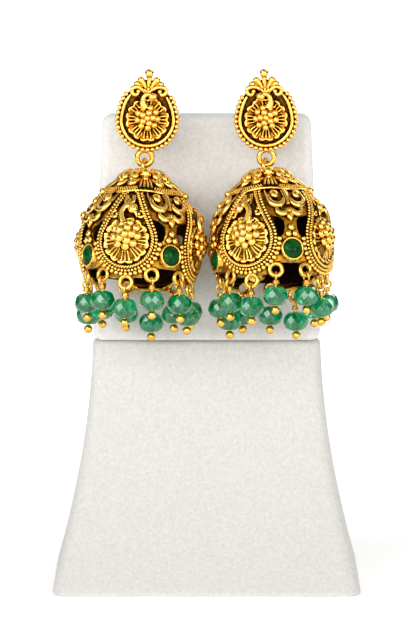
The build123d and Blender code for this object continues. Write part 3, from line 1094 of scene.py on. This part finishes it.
# %% Emerald glass
# Green glass backed by its bezel: dark, with a faint cloud in it and one small highlight.
emerald, tree, place = new_material("emerald_glass")
clouds = noise(tree, place, 1.6, 2.0)
green = ramp(tree, clouds, [(0.35, "#022C0C"), (0.7, "#06501A")])
surface(tree, {"Base Color": green, "Roughness": 0.06, "Specular IOR Level": 0.1})

# %% The pieces of both bells
BELL_FORMS = [(form, antique_gold, "antique_gold", "_bell") for form in (wall, cap, panels, gaps)]
BELL_FORMS += [(form, polished_gold, "polished_gold", "_bell") for form in (bezels, hooks, loop)]
BELL_FORMS += [(stones, emerald, "emerald_glass", "_stones")]
for side, way in SIDES.items():
    mirror = Matrix.Diagonal((way["mirror"], 1, 1, 1))
    for form, finish, slot_name, node in BELL_FORMS:
        place = hang_of(side) @ mirror
        if form == cap:
            place = hang_of(side) @ Matrix.Rotation(radians(4 - way["turn"]), 4, "Z")
        piece = copied(form, place, f"{side}_bell_{form.name}")
        finished(piece, side + "_drop", finish, [side + node])
discard(wall, cap, panels, gaps, bezels, hooks, loop, stones)
print("bells:", len(BELL_FORMS), "pieces on each side")

# %% [markdown]
# ## The fringe
# Each drop is a headpin: a ball at the foot, a faceted glass bead, and above it the wire turned
# into a loop and wrapped round itself. The bead is built as rings of points joined in kites and
# triangles, which is how a rondelle is cut.

# %% Bead and pin
RONDELLE = [
    (0.62, 2.25, 0.0), (1.75, 2.08, 0.0), (2.42, 1.5, 0.5), (2.88, 0.55, 0.0), (3.0, -0.4, 0.5),
    (2.5, -1.5, 0.0), (1.6, -2.1, 0.5), (0.62, -2.25, 0.5),
]
FACETS = 10
points = []
for radius, height, shift in RONDELLE:
    for n in range(FACETS):
        angle = 2 * pi * (n + shift) / FACETS
        points.append((radius * cos(angle), radius * sin(angle), height))
# Each facet as its corners: the ring, and how many points on from the facet's own place.
FACET_CORNERS = (
    ((0, 0), (1, 0), (1, 1), (0, 1)),
    ((1, 0), (2, 0), (1, 1)),
    ((1, 0), (2, -1), (3, 0), (2, 0)),
    ((2, 0), (3, 0), (4, 0), (3, 1)),
    ((3, 0), (4, -1), (4, 0)),
    ((4, -1), (5, 0), (4, 0)),
    ((4, 0), (5, 0), (6, 0), (5, 1)),
    ((5, 0), (6, -1), (6, 0)),
    ((6, 0), (7, 0), (7, 1), (6, 1)),
    ((7, 0), (0, 0), (7, 1)),
    ((0, 0), (0, 1), (7, 1)),
)
faces = [
    [level * FACETS + (n + step) % FACETS for level, step in corners]
    for n in range(FACETS)
    for corners in FACET_CORNERS
]
bead_form = meshed("bead_form", points, [], faces)
only(tidied(bead_form))
soften = bead_form.modifiers.new("soften", "BEVEL")
soften.width = 0.05
soften.segments = 1
bpy.ops.object.modifier_apply(modifier="soften")
bpy.ops.object.shade_smooth_by_angle(angle=radians(12))
BEAD_DROP = 4.7
BEAD_FOOT = 2.33
END_BALL = 1.02
pin_loop = ring("pin_loop", 1.0, 0.24)
pin_loop.data.transform(Matrix.Translation((0, 0, -0.17)) @ Matrix.Rotation(pi / 2, 4, "Y"))
coil = [ring("coil", 0.46, 0.22) for n in range(4)]
for n, turn in enumerate(coil):
    wide = 1 + 0.12 * n
    turn.data.transform(at(0, 0, -1.12 - 0.22 * n, 0, (wide, wide, 0.8)))
shaft = wire("shaft", [(0, 0, -1.2), (0, 0, -7.6)], 0.3)
deselect()
bpy.ops.mesh.primitive_uv_sphere_add(segments=24, ring_count=16, radius=END_BALL)
bpy.context.object.location = (0, 0, -BEAD_DROP - BEAD_FOOT - END_BALL)
end_ball = smooth(settle(bpy.context.object, "end_ball"))
pin_form = joined("pin_form", [pin_loop, *coil, shaft, end_ball])
print("bead:", len(bead_form.data.polygons), "faces, pin:", len(pin_form.data.polygons), "faces")

# %% Bead glass
# Green glass with milk stirred into it: light passes through, and each facet shines apart.
bead_glass, tree, place = new_material("green_bead_glass")
milk = noise(tree, place, 2.4, 3.0, Roughness=0.55, Distortion=0.6)
surface(
    tree,
    {
        "Base Color": ramp(tree, milk, [(0.3, "#008247"), (0.5, "#00AE6C"), (0.72, "#1ED096")]),
        "Roughness": 0.03,
        "IOR": 1.55,
        "Coat Weight": 0.5,
        "Coat Roughness": 0.02,
        "Transmission Weight": 0.8,
        "Subsurface Weight": 0.15,
        "Subsurface Radius": (1.5 * MM, 2.5 * MM, 2 * MM),
        "Subsurface Scale": 1.0,
    },
)


# %% The fringe of each bell
def drop_place(side, place, number):
    """Where a drop hangs: at the lowest point of its hook's wire, close to plumb, in mm."""
    hang = Matrix.Scale(1 / MM, 4) @ hang_of(side) @ facing(*place)
    centre = hang.translation
    axis = (hang.to_3x3() @ Vector((0, 0, 1))).normalized()
    down = Vector((0, 0, -1))
    down = (down - axis * down.dot(axis)).normalized()
    lowest = centre + down * HOOK_RADIUS
    along = axis.cross(down)
    flat_along = Vector((along.x, along.y, 0)).normalized()
    flat_across = Vector((0, 0, 1)).cross(flat_along)
    sway = radians(2.0 * sin(2.4 * number))
    swing = radians(2.0 * cos(3.7 * number))
    up = (Vector((0, 0, 1)) + flat_along * sin(sway) + flat_across * sin(swing)).normalized()
    x_way = (flat_along - up * flat_along.dot(up)).normalized()
    y_way = up.cross(x_way)
    turn = Matrix((x_way, y_way, up)).transposed().to_4x4()
    return Matrix.Scale(MM, 4) @ Matrix.Translation(lowest) @ turn


for side, way in SIDES.items():
    places = [drop_place(side, place, way["first"] + n) for n, place in enumerate(HOOK_PLACES)]
    pins = joined(side + "_headpins", [copied(pin_form, place) for place in places])
    finished(pins, side + "_drop", polished_gold, [side + "_pins"])
    for number, place in enumerate(places, start=1):
        along = place.to_3x3() @ Vector((1, 0, 0))
        spin = radians(18 + 9 * sin(2.1 * number)) - atan2(along.y, along.x)
        turn = Matrix.Rotation(spin, 4, "Z")
        low = place @ Matrix.Translation((0, 0, -BEAD_DROP)) @ turn
        bead = copied(bead_form, low, f"{side}_rondelle_{number:02d}")
        finished(bead, side + "_drop", bead_glass, [f"{side}_bead_{number:02d}"])
discard(bead_form, pin_form)

# %% [markdown]
# ## The studs
# The stud's face is a round plate with the same flower and peacock, a smooth wire and a row of
# grains round it, and a crown of scrolls, leaves and a ball above the peacock.

# %% The stud's motif, laid flat
def stud_line(radius, start, end, count):
    """An arc round the stud between angles in degrees, drawn out towards the crown."""
    points = []
    for angle in np.linspace(start, end, count):
        far = radius + 0.9 * max(abs(angle + 90) - 112, 0) / 33
        points.append((far * cos(radians(angle)), far * sin(radians(angle))))
    return np.array(points)


disc = stud_line(6.95, 90, -270, 73)[:-1]
stud_parts = [plate("disc", disc, 0.0, 1.0)]
crown_back = [(2.9 * cos(a), 2.2 * sin(a)) for a in np.linspace(0, 2 * pi, 37)[:-1]]
back = plate("crown_back", np.array(crown_back), 0.0, 1.0)
back.data.transform(at(0.1, 7.2))
stud_parts.append(back)
border = stud_line(7.1, 47, -235, 100)
border_grain = copied(large_grain, Matrix.Scale(1.1, 4))
stud_parts += row_of(border_grain, border, 1.16, 0.15)
discard(border_grain)
rim_points = [(x, y, 0.3) for x, y in stud_line(6.2, 50, -237, 26)]
stud_parts.append(wire("stud_rim", rim_points, 0.42, [0.6] + [1.0] * 24 + [0.6]))
stud_parts.append(flower("stud_flower", 1.8, 5.4, 2.75, 0.5, 0.9))
bird = peacock("stud_peacock", 1.0)
bird.data.transform(at(-0.1, 3.4, 0.4, 0, (1.2, 1, 1)))
stud_parts.append(bird)
for side, x, y, size in ((-1, -2.6, 6.75, 1.4), (1, 3.45, 6.65, 1.42)):
    stud_parts.append(curl(side, (x, y, 0.5), size, 0.42, 330, 150))
    arm_line = [
        (0.1 + side * 0.25, 6.0, 0.8),
        (side * 1.1, 7.2, 1.0),
        (x, y + size, 1.0),
        (x + side * size * 0.9, y + 0.4, 0.9),
    ]
    stud_parts.append(wire("arm", arm_line, 0.5, [0.6, 0.85, 1.0, 1.0]))
for line, thick in (
    ([(0.0, 6.4), (-0.5, 8.2), (-1.45, 9.4)], 0.72),
    ([(-0.1, 6.4), (-1.3, 7.8), (-2.4, 8.5)], 0.68),
    ([(0.4, 6.4), (1.2, 8.2), (2.25, 9.3)], 0.72),
    ([(0.5, 6.4), (2.0, 7.8), (3.25, 8.3)], 0.68),
    ([(0.2, 6.4), (0.25, 7.8), (0.35, 8.8)], 0.42),
):
    stud_parts.append(frond(line, thick))
top = ball(0.47, 10.95, 0.35, 1.05)
neck = wire("neck", [(0.4, 8.6, 0.35), (0.45, 10.2, 0.35)], 0.6)
stud_parts += [top, neck]
stud_face = joined("stud_face", stud_parts)
add_wear_and_shade([stud_face])
print("stud face:", len(stud_face.data.polygons), "faces")

# %% Studs, rings and posts
# For each side, the middle of its face, the middle of its ring, and 1 or -1 for a mirrored one.
STUDS = {"left": (-13.95, -14.6, 1), "right": (13.95, 14.1, -1)}
FACE_HEIGHT = 110.0
POST_HEIGHT = 105.9
RING_HEIGHT = 100.9
POST_END = 7.8
to_metres = Matrix.Scale(MM, 4)
upright = Matrix.Rotation(pi / 2, 4, "X")
for side, (stud_x, ring_x, mirror) in STUDS.items():
    ring_y = PIVOTS[side + "_drop"].y / MM
    face_place = to_metres @ Matrix.Translation((stud_x, ring_y - 1.3, FACE_HEIGHT)) @ upright
    flip = Matrix.Diagonal((mirror, 1, 1, 1))
    face = copied(stud_face, face_place @ flip, side + "_stud_face")
    finished(face, "stand", antique_gold, [side + "_stud"])
    stud_ring = ring("stud_ring", 1.78, 0.6)
    stud_ring.data.transform(Matrix.Translation((ring_x, ring_y, RING_HEIGHT)) @ upright)
    post_line = [(stud_x, y, POST_HEIGHT) for y in (ring_y - 0.4, 0, POST_END)]
    post = wire("post", post_line, 0.5)
    solder_line = [(stud_x, y, POST_HEIGHT) for y in (ring_y - 0.4, ring_y + 0.5)]
    solder = wire("solder", solder_line, 1.1, [1, 0.5])
    fittings = joined(side + "_stud_fittings", [stud_ring, post, solder])
    fittings.data.transform(to_metres)
    finished(fittings, "stand", polished_gold, [side + "_stud"])
discard(stud_face, small_grain, large_grain, boss, twist)
print("studs:", ", ".join(STUDS))

# %% [markdown]
# ## The stand
# The stand is board covered in suede: a base that flares towards its foot, and a flat panel
# that the studs are pinned to. Both are skinned over rings of points, so that the corners and
# the rolled edges come out exactly as wide as the cover makes them.


# %% Skinned forms
CORNER_STEPS = 12
SIDE_STEPS = 16


def rounded(left, right, low, high, radius):
    """A rounded rectangle as points, anticlockwise from its right side."""
    arcs = []
    for x, y, start in (
        (right - radius, high - radius, 0),
        (left + radius, high - radius, 90),
        (left + radius, low + radius, 180),
        (right - radius, low + radius, 270),
    ):
        angles = np.radians(start + 90 * np.arange(CORNER_STEPS + 1) / CORNER_STEPS)
        arcs.append(np.column_stack([x + radius * np.cos(angles), y + radius * np.sin(angles)]))
    sides = []
    for arc, following in zip(arcs, arcs[1:] + arcs[:1]):
        sides += [arc, np.linspace(arc[-1], following[0], SIDE_STEPS + 1)[1:-1]]
    return np.vstack(sides)


def skinned(name, rings):
    """A closed skin over rings of points in mm, its ends drawn together to a point."""
    count = len(rings[0])
    made = grid(count, len(rings) - 1)
    table = np.array(rings)

    def place(x, y, z):
        across = np.rint((x + 1) / 2 * count).astype(int) % count
        along = np.rint((y + 1) / 2 * (len(rings) - 1)).astype(int)
        spot = table[along, across]
        return spot[:, 0], spot[:, 1], spot[:, 2]

    made.name = name
    return smooth(tidied(shaped(made, place)))


# %% The base
BASE_HEIGHT = 56.3
HALF_WIDTH = 27.1
FOOT_ROUND = 1.2
TOP_ROUND = 0.9


def base_ring(height, inset, shrink=1.0):
    """A ring round the base at a height, drawn in by an inset and towards its middle."""
    share = (1 - min(max(height, 0), BASE_HEIGHT) / BASE_HEIGHT) ** 1.7
    half = HALF_WIDTH + 9.2 * share - inset
    front = 2.7 - 34.2 * share + inset
    back = 13.5 + 17.5 * share - inset
    outline = rounded(-half, half, front, back, 3.0 - 0.5 * inset)
    middle = np.array([0, (front + back) / 2])
    outline = middle + (outline - middle) * shrink
    return np.column_stack([outline, np.full(len(outline), height)])


rings = [base_ring(0, FOOT_ROUND, shrink) for shrink in (0.0, 0.3, 0.6, 0.85)]
for angle in np.linspace(0, pi / 2, 6):
    rings.append(base_ring(FOOT_ROUND * (1 - cos(angle)), FOOT_ROUND * (1 - sin(angle))))
for height in np.linspace(FOOT_ROUND, BASE_HEIGHT - TOP_ROUND, 34)[1:-1]:
    rings.append(base_ring(height, 0))
for angle in np.linspace(0, pi / 2, 7):
    height = BASE_HEIGHT - TOP_ROUND * (1 - sin(angle))
    rings.append(base_ring(height, TOP_ROUND * (1 - cos(angle))))
rings += [base_ring(BASE_HEIGHT, TOP_ROUND, shrink) for shrink in (0.85, 0.6, 0.3, 0.0)]
base = skinned("suede_base", rings)
base.data.transform(to_metres)
finished(base, "stand", base_suede_painted_darker, ["stand_base"])
print("base:", len(base.data.polygons), "faces")

# %% The panel
PANEL_FOOT = 56.4
PANEL_TOP = 110.3
EDGE_ROUND = 2.3
PANEL_FRONT = 3.0
PANEL_THICK = 8.0
TAPER = 2.4
INNER_RINGS = (0.9, 0.7, 0.35, 0.0)


def panel_ring(depth, inset, shrink=1.0):
    """A ring round the panel at a depth behind its front face."""
    half = HALF_WIDTH - inset
    corner_round = max(2.6 - 0.6 * inset, 0.8)
    outline = rounded(-half, half, PANEL_FOOT + 0.35 * inset, PANEL_TOP - inset, corner_round)
    x, z = outline.T
    x = x * (1 - TAPER / HALF_WIDTH * (z - PANEL_FOOT) / (PANEL_TOP - PANEL_FOOT))
    middle = (PANEL_FOOT + PANEL_TOP) / 2
    z = middle + (z - middle) * shrink
    if depth <= EDGE_ROUND:
        depth = depth * (0.3 + 0.7 * np.clip((z - PANEL_FOOT) / 3, 0, 1))
    return np.column_stack([x * shrink, PANEL_FRONT + depth + 0 * x, z])


rings = [panel_ring(0, EDGE_ROUND, shrink) for shrink in reversed(INNER_RINGS)]
for angle in np.linspace(0, pi / 2, 9):
    rings.append(panel_ring(EDGE_ROUND * (1 - cos(angle)), EDGE_ROUND * (1 - sin(angle))))
for angle in np.linspace(pi / 2, 0, 9):
    depth = PANEL_THICK - EDGE_ROUND * (1 - cos(angle))
    rings.append(panel_ring(depth, EDGE_ROUND * (1 - sin(angle))))
rings += [panel_ring(PANEL_THICK, EDGE_ROUND, shrink) for shrink in INNER_RINGS]
panel = skinned("suede_panel", rings)
panel.data.transform(to_metres)
finished(panel, "stand", panel_suede_painted_lighter, ["stand_panel"])
print("panel:", len(panel.data.polygons), "faces")
